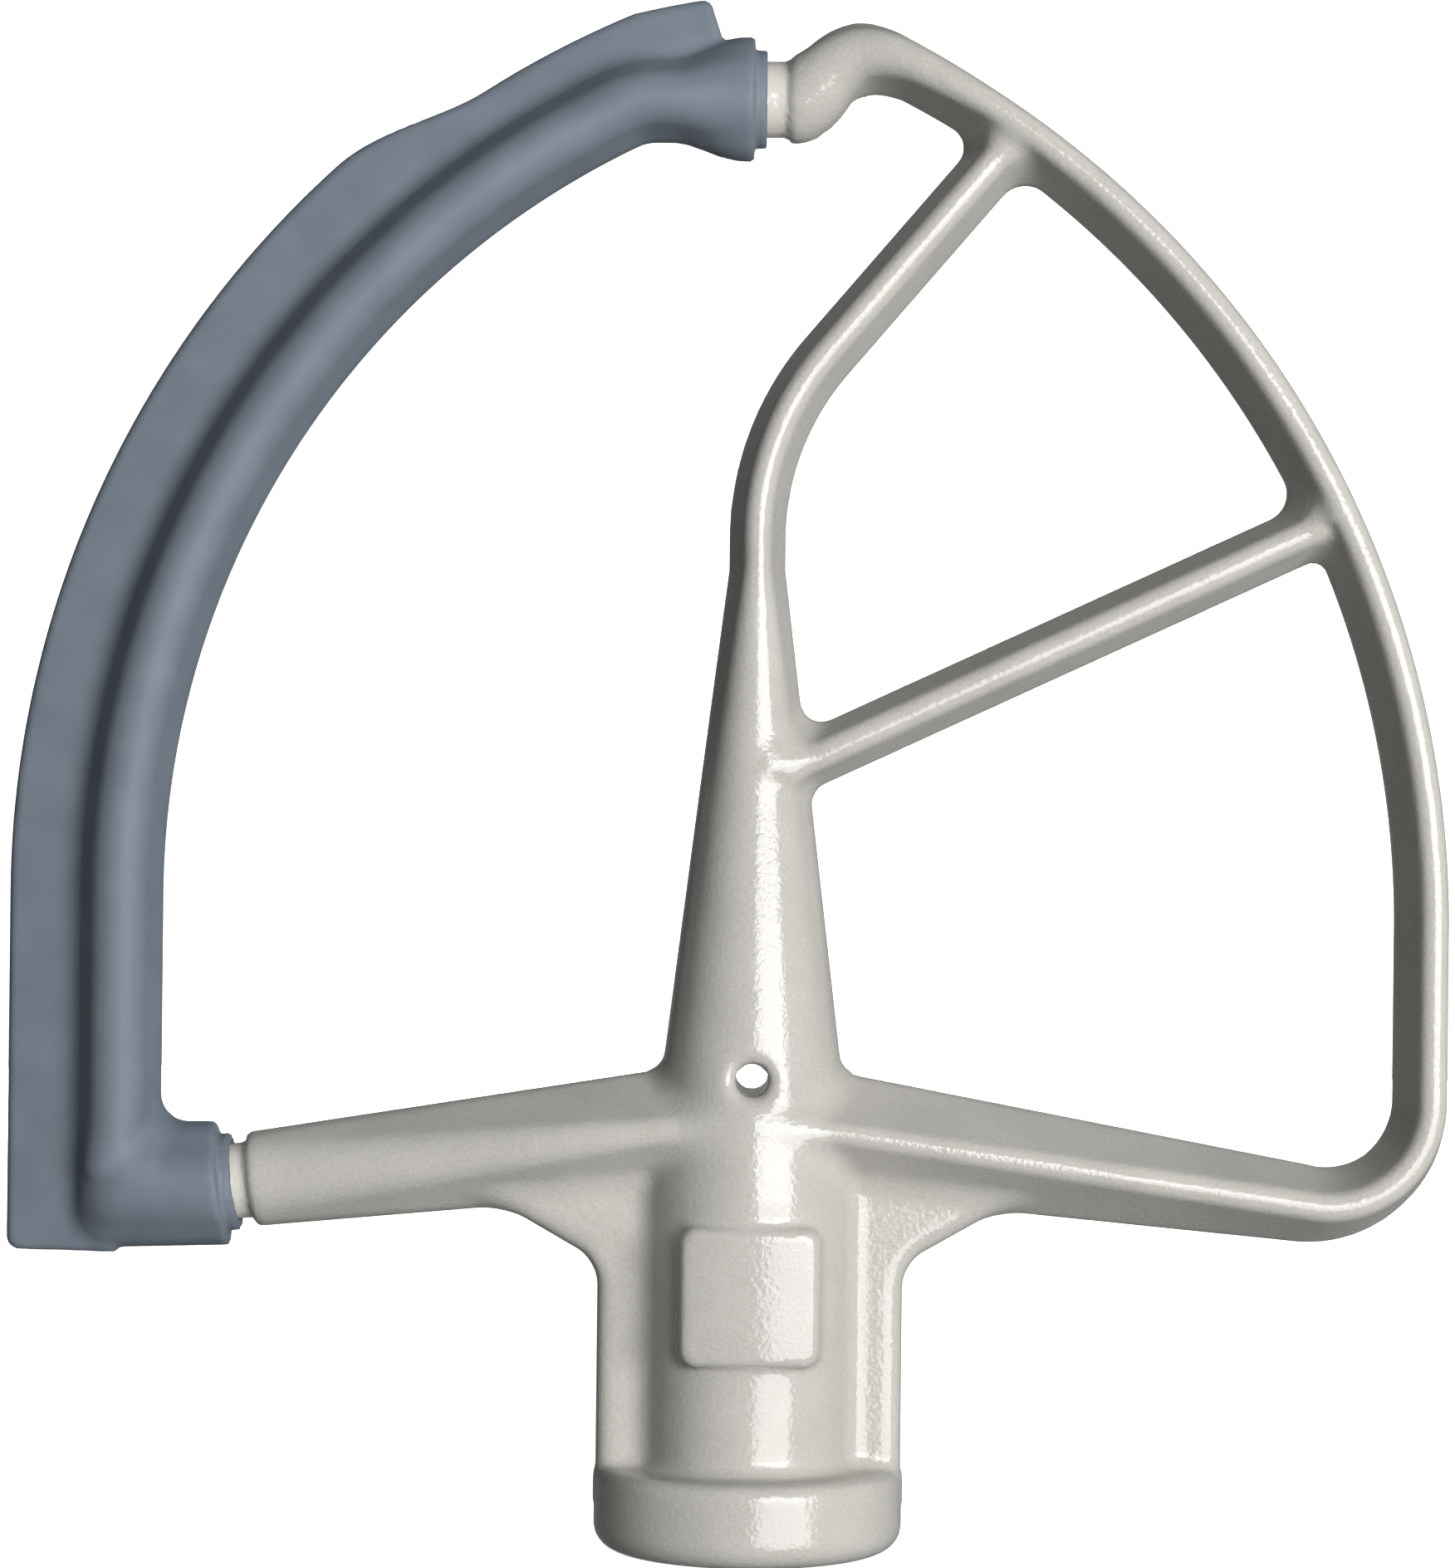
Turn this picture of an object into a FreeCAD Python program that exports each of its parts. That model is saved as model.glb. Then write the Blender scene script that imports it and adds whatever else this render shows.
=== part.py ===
# Flat beater for a stand mixer: a coated die-cast frame with a silicone edge moulded over its left side.
# Millimetres. Z is the drive axis, up from the hub's end face; the beater lies flat in the XZ plane.
import FreeCAD, Part
import math
import os
import Sketcher

doc = FreeCAD.newDocument("flat_beater")

SIZES = {
    # hub: collar, round barrel, side wings and the webs up to the arms
    "collar_radius": 18.5,
    "collar_height": 10.0,
    "collar_round": 3.0,
    "collar_edge": 1.6,
    "barrel_radius": 12.6,
    "barrel_foot": 1.6,
    "wing_reach": 18.3,
    "wing_thick": 12.0,
    "wing_blend": 2.2,
    "wing_edge": 2.5,
    "wing_top": 34.2,
    "web_reach": 29.5,
    "web_rise": 40.6,
    "web_hollow": 5.6,
    # bare square plate on the front of the barrel
    "plate_side": 16.0,
    "plate_corner": 2.0,
    "plate_proud": 0.9,
    "plate_centre": 31.3,
    # socket for the drive shaft with its bayonet slot
    "bore_radius": 6.5,
    "bore_depth": 44.0,
    "bore_chamfer": 1.0,
    "slot_width": 5.8,
    "slot_reach": 10.4,
    "slot_depth": 24.0,
    "turn_height": 7.0,
    "turn_angle": 60.0,
    # cross hole through the spine
    "hole_radius": 1.95,
    "hole_round": 2.0,
    "hole_height": 56.7,
    # spine above the hub, round below and a bar on top
    "spine_foot": 42.6,
    "spine_neck": 117.5,
    # spoke that leaves the spine
    "spoke_width": 6.8,
    "spoke_depth": 14.4,
    "spoke_heading": 49.6,
    "spoke_bend": 34.0,
    "spoke_corner": 133.9,
    # rib from the spine to the rim
    "rib_width": 6.8,
    "rib_depth": 13.6,
    "rib_angle": 25.4,
    "rib_blend": 3.0,
    "flare_setback": 1.0,
    # rounding that ribs, rim and arms share
    "nose_radius": 1.75,
    "flank_edge": 2.5,
    "round_share": 0.44,
    # rim on the right
    "rim_width": 6.5,
    "rim_depth": 18.0,
    "rim_lean": 0.5,
    "rim_radius": 115.35,
    "rim_centre_x": -35.0,
    "rim_centre_z": 75.0,
    # arms from the hub to both sides
    "arm_height": 51.3,
    "arm_root": 15.2,
    "arm_depth": 20.0,
    "arm_lean": 0.7,
    "arm_nose": 2.1,
    "arm_tip_nose": 1.93,
    "right_drop": 7.9,
    "right_tip": 9.6,
    "corner_radius": 12.3,
    "left_drop": 7.3,
    "left_tip": 11.4,
    "left_reach": 60.2,
    # goose neck from the rim to the upper neck
    "goose_angle": 62.5,
    "crest_reach": 8.6,
    "crest_rise": 5.0,
    "crest_heading": 184.0,
    "crest_width": 9.05,
    "crest_roundness": 0.55,
    "fall_roundness": 0.78,
    "fall_reach": 4.1,
    "fall_rise": 2.85,
    "fall_heading": 222.0,
    "fall_width": 8.9,
    "bulb_width": 10.6,
    "bulb_end": 3.2,
    "bulb_round": 0.55,
    "neck_height": 174.2,
    # necks and core inside the silicone edge
    "neck_width": 9.1,
    "neck_length": 4.0,
    "core_bend": 6.2,
    "core_width": 5.4,
    "core_depth": 8.4,
    "core_nose": 2.2,
    # silicone tube
    "tube_width": 9.3,
    "tube_depth": 12.0,
    "tube_nose": 3.72,
    "tube_side": 3.91,
    "tube_x": -75.75,
    "tube_radius": 105.25,
    "tube_centre_z": 78.1,
    "tube_release": 116.2,
    "boot_bottom": 34.6,
    "boot_top": 50.6,
    "boot_corner": 8.2,
    "boot_hollow": 3.5,
    "boot_depth": 13.6,
    "boot_nose": 5.44,
    "boot_side": 4.9,
    "lip_width": 14.9,
    "lip_depth": 13.6,
    "lip_nose": 5.7,
    "lip_low": 63.5,
    "lip_high": 0.9,
    "flare_length": 9.3,
    "ring_width": 11.8,
    "ring_length": 1.5,
    # thin blade of the edge
    "blade_thick": 2.2,
    "blade_reach": 13.75,
    "blade_step": 3.7,
    "step_start": 132.5,
    "step_end": 122.0,
    "step_crest": 2.2,
    "step_foot": 3.6,
    "tip_angle": 112.0,
    "tip_x": -6.4,
    "tip_z": 186.1,
    "tip_slope": 3.8,
    "blade_bottom": 34.9,
    "blade_corner": 1.6,
}


# Sizes that carry their own spreadsheet expression

class Size:
    """A number together with the spreadsheet expression that it comes from."""

    def __init__(self, number, text):
        self.number = number
        self.text = text

    def __add__(self, other):
        return joined(self, "+", other, self.number + as_size(other).number)

    def __sub__(self, other):
        return joined(self, "-", other, self.number - as_size(other).number)

    def __mul__(self, other):
        return joined(self, "*", other, self.number * as_size(other).number)

    def __truediv__(self, other):
        return joined(self, "/", other, self.number / as_size(other).number)

    def __radd__(self, other):
        return as_size(other) + self

    def __rsub__(self, other):
        return as_size(other) - self

    def __rmul__(self, other):
        return as_size(other) * self

    def __neg__(self):
        return Size(-self.number, "(0 - %s)" % self.text)


def as_size(value):
    """Turn a plain number into a Size and leave a Size as it is."""
    if isinstance(value, Size):
        return value
    return Size(float(value), "(%r)" % float(value))


def joined(left, sign, right, number):
    """Join two sizes into one expression."""
    return Size(number, "(%s %s %s)" % (left.text, sign, as_size(right).text))


def sine(angle):
    """Sine of an angle in degrees."""
    angle = as_size(angle)
    return Size(math.sin(math.radians(angle.number)), "sin(%s * 1deg)" % angle.text)


def cosine(angle):
    """Cosine of an angle in degrees."""
    angle = as_size(angle)
    return Size(math.cos(math.radians(angle.number)), "cos(%s * 1deg)" % angle.text)


def tangent(angle):
    """Tangent of an angle in degrees."""
    return sine(angle) / cosine(angle)


def root(value):
    """Square root of a size."""
    return Size(math.sqrt(value.number), "sqrt(%s)" % value.text)


def heading_of(along, up):
    """Angle in degrees of the direction that goes along X and up Z."""
    number = math.degrees(math.atan2(up.number, along.number))
    return Size(number, "(atan2(%s; %s) / 1deg)" % (up.text, along.text))


def mixed(first, last, share):
    """The size that lies a share of the way from the first to the last."""
    return first * (1.0 - share) + last * share


def make_sheet():
    """Write the sizes into a spreadsheet and give each a Size."""
    sheet = doc.addObject("Spreadsheet::Sheet", "size")
    for row, (name, value) in enumerate(SIZES.items(), 1):
        sheet.set("A%d" % row, name)
        sheet.set("B%d" % row, str(value))
        sheet.setAlias("B%d" % row, name)
    doc.recompute()
    return {name: Size(float(sheet.get(name)), "size." + name) for name in SIZES}


D = make_sheet()


# Sketches and features

def new_body(label):
    """An empty body, named as its node."""
    body = doc.addObject("PartDesign::Body", label)
    body.Label = label
    return body


def new_sketch(body, plane, name):
    """A sketch on one of the body's own origin planes."""
    sketch = body.newObject("Sketcher::SketchObject", name)
    origin = [item for item in body.Origin.OriginFeatures if item.Role == plane][0]
    sketch.AttachmentSupport = [(origin, "")]
    sketch.MapMode = "FlatFace"
    return sketch


def constrain(sketch, kind, *references, size=None):
    """Add a constraint, bound to its size where it has one."""
    if size is None:
        sketch.addConstraint(Sketcher.Constraint(kind, *references))
        return
    index = sketch.addConstraint(Sketcher.Constraint(kind, *references, size.number))
    sketch.setExpression("Constraints[%d]" % index, size.text)


def point(x, y):
    return FreeCAD.Vector(x, y, 0)


def draw_outline(sketch, corners, bulges=None):
    """Draw a closed outline through its corners; bulges gives the radius of each arc by its first corner.

    A positive radius bulges to the right of the way round, a negative one to the left.
    """
    bulges = bulges or {}
    count = len(corners)
    corners = [(as_size(x), as_size(y)) for x, y in corners]
    for index, (x, y) in enumerate(corners):
        here = point(x.number, y.number)
        there = point(*[value.number for value in corners[(index + 1) % count]])
        if index in bulges:
            sketch.addGeometry(arc_between(here, there, as_size(bulges[index]).number), False)
        else:
            sketch.addGeometry(Part.LineSegment(here, there), False)
    starts = [arc_end(sketch, index, corners[index]) for index in range(count)]
    for index in range(count):
        after = (index + 1) % count
        constrain(sketch, "Coincident", index, 3 - starts[index], after, starts[after])
        constrain(sketch, "DistanceX", -1, 1, index, starts[index], size=corners[index][0])
        constrain(sketch, "DistanceY", -1, 1, index, starts[index], size=corners[index][1])
    for index, radius in bulges.items():
        radius = as_size(radius)
        constrain(sketch, "Radius", index, size=radius if radius.number > 0 else -radius)


def arc_between(here, there, radius):
    """The short arc from one point to another; its sign says to which side it bulges."""
    half = (there - here) * 0.5
    side = point(half.y, -half.x).normalize()
    sink = abs(radius) - math.sqrt(max(radius * radius - half.Length ** 2, 0.0))
    middle = here + half + side * math.copysign(sink, radius)
    return Part.Arc(here, middle, there)


def arc_end(sketch, index, corner):
    """Which end of an edge, 1 or 2, lies at the corner."""
    gap = sketch.getPoint(index, 1) - point(corner[0].number, corner[1].number)
    return 1 if gap.Length < 1e-4 else 2


def wedge(width, depth, nose, edge, lean=0.0):
    """Sizes of a member's section: flat flanks between two rounded noses and two side edges."""
    return [as_size(value) for value in (width, depth, nose, edge, lean)]


def mixed_wedge(first, last, share):
    return [mixed(a, b, share) for a, b in zip(first, last)]


def widened(shape, extra):
    """The section of a flare, wider than its member and set a little behind the member's nose."""
    return [shape[0] + extra, shape[1] - D["flare_setback"]] + shape[2:]


def draw_section(body, name, x, z, heading, shape):
    """Draw a section across a member that runs along its heading through a place in the XZ plane."""
    width, depth, nose, edge, lean = shape
    sketch = new_sketch(body, "XZ_Plane", name)
    place = "placement(vector(%s; %s; 0); rotation(%s - 90; 0; 90))"
    sketch.setExpression("AttachmentOffset", place % (x.text, z.text, heading.text))
    side = width / 2 - edge
    rise = depth / 2 - nose
    right = flank_angle(side.number - lean.number, rise.number, edge.number, nose.number)
    left = flank_angle(side.number + lean.number, rise.number, edge.number, nose.number)
    corners = [(side.number, 0, edge.number, -right, right),
               (lean.number, rise.number, nose.number, right, math.pi - left),
               (-side.number, 0, edge.number, math.pi - left, math.pi + left),
               (lean.number, -rise.number, nose.number, math.pi + left, 2 * math.pi - right)]
    arcs = [Part.ArcOfCircle(Part.Circle(point(u, v), FreeCAD.Vector(0, 0, 1), radius), start, end)
            for u, v, radius, start, end in corners]
    for index, arc in enumerate(arcs):
        sketch.addGeometry(arc, False)
        sketch.addGeometry(Part.LineSegment(arc.EndPoint, arcs[(index + 1) % 4].StartPoint), False)
    for index in range(8):
        constrain(sketch, "Tangent", index, 2, (index + 1) % 8, 1)
    constrain(sketch, "Radius", 0, size=edge)
    constrain(sketch, "Radius", 2, size=nose)
    constrain(sketch, "Equal", 0, 4)
    constrain(sketch, "Equal", 2, 6)
    constrain(sketch, "PointOnObject", 0, 3, -1)
    constrain(sketch, "PointOnObject", 4, 3, -1)
    constrain(sketch, "DistanceX", -1, 1, 0, 3, size=side)
    constrain(sketch, "DistanceX", 4, 3, -1, 1, size=side)
    constrain(sketch, "DistanceX", 4, 3, 2, 3, size=side + lean)
    constrain(sketch, "DistanceY", -1, 1, 2, 3, size=rise)
    constrain(sketch, "Symmetric", 2, 3, 6, 3, -1)
    return sketch


def flank_angle(run, rise, edge, nose):
    """Angle of the outward normal of the flat flank between a side edge and a nose."""
    length = math.hypot(run, rise)
    return math.atan2(rise, -run) - math.acos((edge - nose) / length)


def add_loft(body, name, stations, ruled=False):
    """Loft a member through its stations, each a place, a heading and a section."""
    sketches = []
    for index, (x, z, heading, shape) in enumerate(stations):
        place = [as_size(value) for value in (x, z, heading)]
        sketches.append(draw_section(body, "%s_section_%d" % (name, index), *place, shape))
    loft = new_feature(body, "AdditiveLoft", name, (sketches[0], [""]))
    loft.Sections = [(sketch, [""]) for sketch in sketches[1:]]
    loft.Ruled = ruled
    doc.recompute()


def ahead(x, z, heading, distance):
    """Place that lies a distance ahead along a heading."""
    return x + distance * cosine(heading), z + distance * sine(heading)


def round_bend(x, z, heading, radius, turn):
    """Place at the end of a bend; a positive turn goes to the left."""
    side = heading + (90.0 if turn.number > 0 else -90.0)
    centre_x, centre_z = ahead(x, z, side, radius)
    return ahead(centre_x, centre_z, side + 180.0 + turn, radius)


def add_run(body, name, start, shape, legs, cutting=False):
    """Run one section along straight legs and bends; a leg is a length, or a radius with a turn."""
    x, z, heading = [as_size(value) for value in start]
    for index, leg in enumerate(legs):
        sketch = draw_section(body, "%s_section_%d" % (name, index), x, z, heading, shape)
        leg_name = "%s_leg_%d" % (name, index)
        if isinstance(leg, tuple):
            radius, turn = leg
            run_bend(body, leg_name, sketch, radius, turn, cutting)
            x, z = round_bend(x, z, heading, radius, turn)
            heading = heading + turn
        else:
            run_straight(body, leg_name, sketch, leg, cutting)
            x, z = ahead(x, z, heading, leg)
    return x, z, heading


def run_straight(body, name, sketch, length, cutting):
    """Carry a section straight ahead."""
    feature = new_feature(body, "Pocket" if cutting else "Pad", name, sketch)
    feature.Reversed = not cutting
    feature.setExpression("Length", length.text)
    doc.recompute()


def run_bend(body, name, sketch, radius, turn, cutting):
    """Carry a section round a bend about an axis beside it."""
    side = -1.0 if turn.number > 0 else 1.0
    offset = side * radius.number
    axis = sketch.addGeometry(Part.LineSegment(point(offset, 0), point(offset, 1)), True)
    constrain(sketch, "Vertical", axis)
    constrain(sketch, "PointOnObject", axis, 1, -1)
    constrain(sketch, "Distance", axis, size=as_size(1.0))
    constrain(sketch, "DistanceX", -1, 1, axis, 1, size=radius * side)
    feature = new_feature(body, "Groove" if cutting else "Revolution", name, sketch)
    feature.ReferenceAxis = (sketch, ["Axis0"])
    feature.Reversed = turn.number < 0
    feature.setExpression("Angle", (turn if turn.number > 0 else -turn).text)
    doc.recompute()


def new_feature(body, kind, name, sketch):
    """A feature made from a sketch, whose faces are left as they are until the body is done."""
    feature = body.newObject("PartDesign::" + kind, name)
    feature.Profile = sketch
    feature.Refine = False
    return feature


def add_pad(body, name, sketch, length, midplane=True):
    """Pad a sketch by a length, to both sides or to one."""
    pad = new_feature(body, "Pad", name, sketch)
    pad.SideType = "Symmetric" if midplane else "One side"
    pad.setExpression("Length", length.text)
    doc.recompute()
    return pad


def add_fillet(body, name, feature, radius, chosen):
    """Round the edges of a feature that the test chooses."""
    edges = ["Edge%d" % number for number, edge in enumerate(feature.Shape.Edges, 1) if chosen(edge)]
    fillet = body.newObject("PartDesign::Fillet", name)
    fillet.Base = (feature, edges)
    fillet.setExpression("Radius", radius.text)
    doc.recompute()


def check_cut(feature):
    """Stop if a cut took nothing away."""
    doc.recompute()
    if feature.Shape.Volume > feature.BaseFeature.Shape.Volume - 1.0:
        raise RuntimeError("%s cuts nothing" % feature.Name)


def turn_about_axis(body, kind, name, sketch, angle):
    """Turn a sketch about its own upright axis."""
    feature = new_feature(body, kind, name, sketch)
    feature.ReferenceAxis = (sketch, ["V_Axis"])
    feature.setExpression("Angle", as_size(angle).text)
    doc.recompute()
    return feature


# Places that the frame and the edge share

MEMBER = (D["nose_radius"], D["flank_edge"])
RIM = wedge(D["rim_width"], D["rim_depth"], *MEMBER, D["rim_lean"])
RIM_X = D["rim_centre_x"] + D["rim_radius"]


def on_circle(centre_x, centre_z, radius, angle):
    """Place on a circle in the XZ plane."""
    return centre_x + radius * cosine(angle), centre_z + radius * sine(angle)


def on_rim(angle, inset=0.0):
    """Place on the rim's centre line, or that much inside it."""
    return on_circle(D["rim_centre_x"], D["rim_centre_z"], D["rim_radius"] - inset, angle)


def on_tube(angle, outset=0.0):
    """Place on the silicone tube's centre line, or that much outside it."""
    return on_circle(D["tube_x"] + D["tube_radius"], D["tube_centre_z"], D["tube_radius"] + outset, angle)


def on_left_arm(reach):
    """Place on the left arm's centre line at a distance to the left of the drive axis."""
    return -as_size(reach), D["arm_height"] - reach * tangent(D["left_drop"])


LEFT_HEADING = 180.0 + D["left_drop"]


def round_section(width):
    """A section that is all but round."""
    return wedge(width, width, width * D["round_share"], width * D["round_share"])


# Frame

def frame_web(body):
    """Flat web between the wings and the arms, with rounded edges."""
    sketch = new_sketch(body, "XZ_Plane", "web_outline")
    slope = heading_of(D["web_reach"] - D["wing_reach"], D["web_rise"] - D["wing_top"])
    reach = D["web_hollow"] * tangent((90.0 - slope) / 2)
    low = D["wing_top"] - reach
    turn_x = D["wing_reach"] + reach * cosine(slope)
    turn_z = D["wing_top"] + reach * sine(slope)
    right = [(D["wing_reach"], D["collar_height"]), (D["wing_reach"], low), (turn_x, turn_z),
             (D["web_reach"], D["web_rise"]), (D["web_reach"], D["arm_height"] - D["arm_root"] / 4)]
    left = [(-x, z) for x, z in reversed(right)]
    draw_outline(sketch, right + left, {1: -D["web_hollow"], 7: -D["web_hollow"]})
    pad = add_pad(body, "web", sketch, D["wing_thick"])
    face = D["wing_thick"].number / 2
    low_z = D["collar_height"].number

    def on_rounded_edge(edge):
        box = edge.BoundBox
        flat = min(abs(box.YMin), abs(box.YMax)) > face - 0.01 and box.YLength < 0.01
        return flat and box.XLength < 2 * D["wing_reach"].number and box.ZMax > low_z + 0.01

    add_fillet(body, "web_edges", pad, D["wing_edge"], on_rounded_edge)


def frame_barrel(body):
    """Round barrel with its two side wings, drawn across the drive axis and padded up."""
    sketch = new_sketch(body, "XY_Plane", "barrel_outline")
    barrel, blend, edge = D["barrel_radius"], D["wing_blend"], D["wing_edge"]
    half = D["wing_thick"] / 2
    foot_x = root((barrel + blend) * (barrel + blend) - (half + blend) * (half + blend))
    share = barrel / (barrel + blend)
    tip = D["wing_reach"]
    quarter = [(tip, half - edge), (tip - edge, half), (foot_x, half),
               (foot_x * share, (half + blend) * share)]
    upper = quarter + [(-x, y) for x, y in reversed(quarter)]
    corners = upper + [(-x, -y) for x, y in upper]
    bulges = {}
    for start in (0, 8):
        bulges.update({start: edge, start + 2: -blend, start + 3: barrel,
                       start + 4: -blend, start + 6: edge})
    draw_outline(sketch, corners, bulges)
    sketch.setExpression("AttachmentOffset.Base.z", D["collar_round"].text)
    add_pad(body, "barrel", sketch, D["wing_top"] - D["collar_round"], midplane=False)


def frame_collar(body):
    """Collar at the drive end and the barrel up into the spine, turned about the axis."""
    sketch = new_sketch(body, "XZ_Plane", "collar_outline")
    radius, height = D["collar_radius"], D["collar_height"]
    low, high, foot = D["collar_round"], D["collar_edge"], D["barrel_foot"]
    barrel = D["barrel_radius"]
    corners = [(0, 0), (radius - low, 0), (radius, low), (radius, height - high), (radius - high, height),
               (barrel + foot, height), (barrel, height + foot), (barrel, D["spine_foot"]),
               (barrel / 2, D["spine_foot"] + barrel / 2), (0, D["spine_foot"] + barrel / 2)]
    draw_outline(sketch, corners, {1: low, 3: high, 5: -foot})
    turn_about_axis(body, "Revolution", "collar", sketch, 360.0)


def frame_plate(body):
    """Bare square plate with rounded corners on the front of the barrel."""
    sketch = new_sketch(body, "XZ_Plane", "plate_outline")
    half, corner, middle = D["plate_side"] / 2, D["plate_corner"], D["plate_centre"]
    corners = []
    for across, up in ((1, 1), (-1, 1), (-1, -1), (1, -1)):
        ends = [(across * half, middle + up * (half - corner)),
                (across * (half - corner), middle + up * half)]
        corners += ends if across == up else ends[::-1]
    draw_outline(sketch, corners, {0: corner, 2: corner, 4: corner, 6: corner})
    add_pad(body, "plate", sketch, D["barrel_radius"] + D["plate_proud"], midplane=False)


def spine_sections():
    """Sections of the spine at its foot and at its neck."""
    return round_section(D["barrel_radius"] * 2), wedge(D["spoke_width"], D["spoke_depth"], *MEMBER)


def frame_spine(body):
    """Tapering spine that bends into the spoke and runs into the rim."""
    foot, bar = spine_sections()
    add_loft(body, "spine", [(0, D["spine_foot"], 90, foot), (0, D["spine_neck"], 90, bar)], ruled=True)
    turn = D["spoke_heading"] - 90.0
    bend_z = D["spoke_corner"] + D["spoke_bend"] * tangent(turn / 2)
    bend_end = add_run(body, "spoke_bend", (0, D["spine_neck"], 90), bar,
                       [bend_z - D["spine_neck"], (D["spoke_bend"], turn)])
    reach = spoke_length(*bend_end[:2], D["rim_radius"] - D["rim_width"] / 2)
    add_run(body, "spoke", bend_end, bar, [reach + D["rim_width"] / 2])
    add_flare(body, "spoke_flare", ahead(*bend_end, reach), bend_end[2], bar)


def spoke_length(x, z, radius):
    """Distance along the spoke from a place to the circle of that radius about the rim's centre."""
    away_x, away_z = x - D["rim_centre_x"], z - D["rim_centre_z"]
    along = away_x * cosine(D["spoke_heading"]) + away_z * sine(D["spoke_heading"])
    return root(along * along + radius * radius - away_x * away_x - away_z * away_z) - along


def add_flare(body, name, wall, heading, shape):
    """Widen a member in a round flare where it runs into a wall ahead of it."""
    stations = [(*ahead(*wall, heading, -back), heading, widened(shape, extra))
                for back, extra in flare_steps()]
    add_loft(body, name, stations, ruled=True)


def flare_steps():
    """Distances from a wall and extra widths that follow a round fillet."""
    blend = D["rib_blend"]
    return [(blend * back, blend * extra) for back, extra in
            ((1.1, -0.15), (0.6, 0.16), (0.3, 0.57), (0.1, 1.13), (-0.3, 2.0))]


def spine_half_width(height):
    """Half the spine's width at a height."""
    share = (height - D["spine_foot"]) / (D["spine_neck"] - D["spine_foot"])
    foot, bar = spine_sections()
    return (foot[0] * (1.0 - share) + bar[0] * share) / 2


def frame_rib(body):
    """Straight rib from the spine to the rim, along a radius of the rim."""
    bar = wedge(D["rib_width"], D["rib_depth"], *MEMBER)
    heading = D["rib_angle"]
    start = D["rim_radius"] + D["rim_centre_x"] / cosine(heading)
    add_run(body, "rib", (*on_rim(heading, start), heading), bar, [start])
    add_flare(body, "rib_flare", on_rim(heading, D["rim_width"] / 2), heading, bar)
    upright = [D["rib_width"] / cosine(heading)] + bar[1:]
    wall_x = spine_half_width(D["rim_centre_z"] - D["rim_centre_x"] * tangent(heading))
    stations = []
    for back, extra in flare_steps():
        place = on_rim(heading, start - (wall_x + back) / cosine(heading))
        stations.append((*place, 0, widened(upright, extra)))
    add_loft(body, "rib_root", stations, ruled=True)


def frame_right_side(body):
    """Right arm, corner, rim and goose neck, from the hub to the upper neck."""
    hub = wedge(D["arm_root"], D["arm_depth"], D["arm_nose"], D["flank_edge"], -D["arm_lean"])
    tip = wedge(D["right_tip"], D["rim_depth"], D["arm_tip_nose"], D["flank_edge"], -D["arm_lean"] / 2)
    drop, corner = D["right_drop"], D["corner_radius"]
    centre_x = RIM_X - corner
    start_x = centre_x - corner * sine(drop)
    start_z = D["arm_height"] - start_x * tangent(drop)
    centre_z = start_z + corner * cosine(drop)
    add_loft(body, "right_arm", [(0, D["arm_height"], -drop, hub), (start_x, start_z, -drop, tip)],
             ruled=True)
    stations = []
    for share in (0.0, 0.25, 0.5, 0.75, 1.0):
        heading = (90.0 + drop) * share - drop
        place = on_circle(centre_x, centre_z, corner, heading - 90.0)
        stations.append((*place, heading, mixed_wedge(tip, RIM, share)))
    add_loft(body, "corner", stations)
    add_run(body, "rim", (RIM_X, centre_z, 90), RIM,
            [D["rim_centre_z"] - centre_z, (D["rim_radius"], D["goose_angle"])])
    add_loft(body, "goose_neck", goose_stations())
    bulb = end_stations(D["bulb_end"], D["neck_height"], as_size(180), D["bulb_width"])
    add_loft(body, "bulb", bulb, ruled=True)


def goose_stations():
    """The bend from the rim over a crest and down to the round bulb at the upper neck."""
    end, height = D["bulb_end"] + D["bulb_round"], D["neck_height"]
    bulb = round_section(D["bulb_width"])
    crest = [D["crest_width"]] + mixed_wedge(RIM, bulb, D["crest_roundness"])[1:]
    fall = [D["fall_width"]] + mixed_wedge(RIM, bulb, D["fall_roundness"])[1:]
    angle = D["goose_angle"]
    return [(*on_rim(angle), angle + 90.0, RIM),
            (end + D["crest_reach"], height + D["crest_rise"], D["crest_heading"], crest),
            (end + D["fall_reach"], height + D["fall_rise"], D["fall_heading"], fall),
            (end, height, 180, bulb)]


def end_stations(x, z, heading, width):
    """Sections of a round end with a softly rounded rim; the place is that of the end face."""
    trim = D["bulb_round"]
    return [(*ahead(x, z, heading, -trim * back), heading, round_section(width - trim * narrow))
            for back, narrow in ((1.0, 0.0), (0.5, 0.27), (0.13, 1.0), (0.0, 2.0))]


def frame_left_arm(body):
    """Left arm, a wedge at the hub that turns round towards its end."""
    hub = wedge(D["arm_root"], D["arm_depth"], D["arm_nose"], D["flank_edge"], D["arm_lean"])
    tip = round_section(D["left_tip"])
    end = on_left_arm(D["left_reach"])
    shoulder = ahead(*end, LEFT_HEADING, -D["bulb_round"])
    add_loft(body, "left_arm", [(0, D["arm_height"], LEFT_HEADING, hub), (*shoulder, LEFT_HEADING, tip)],
             ruled=True)
    add_loft(body, "left_end", end_stations(*end, LEFT_HEADING, D["left_tip"]), ruled=True)


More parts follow.
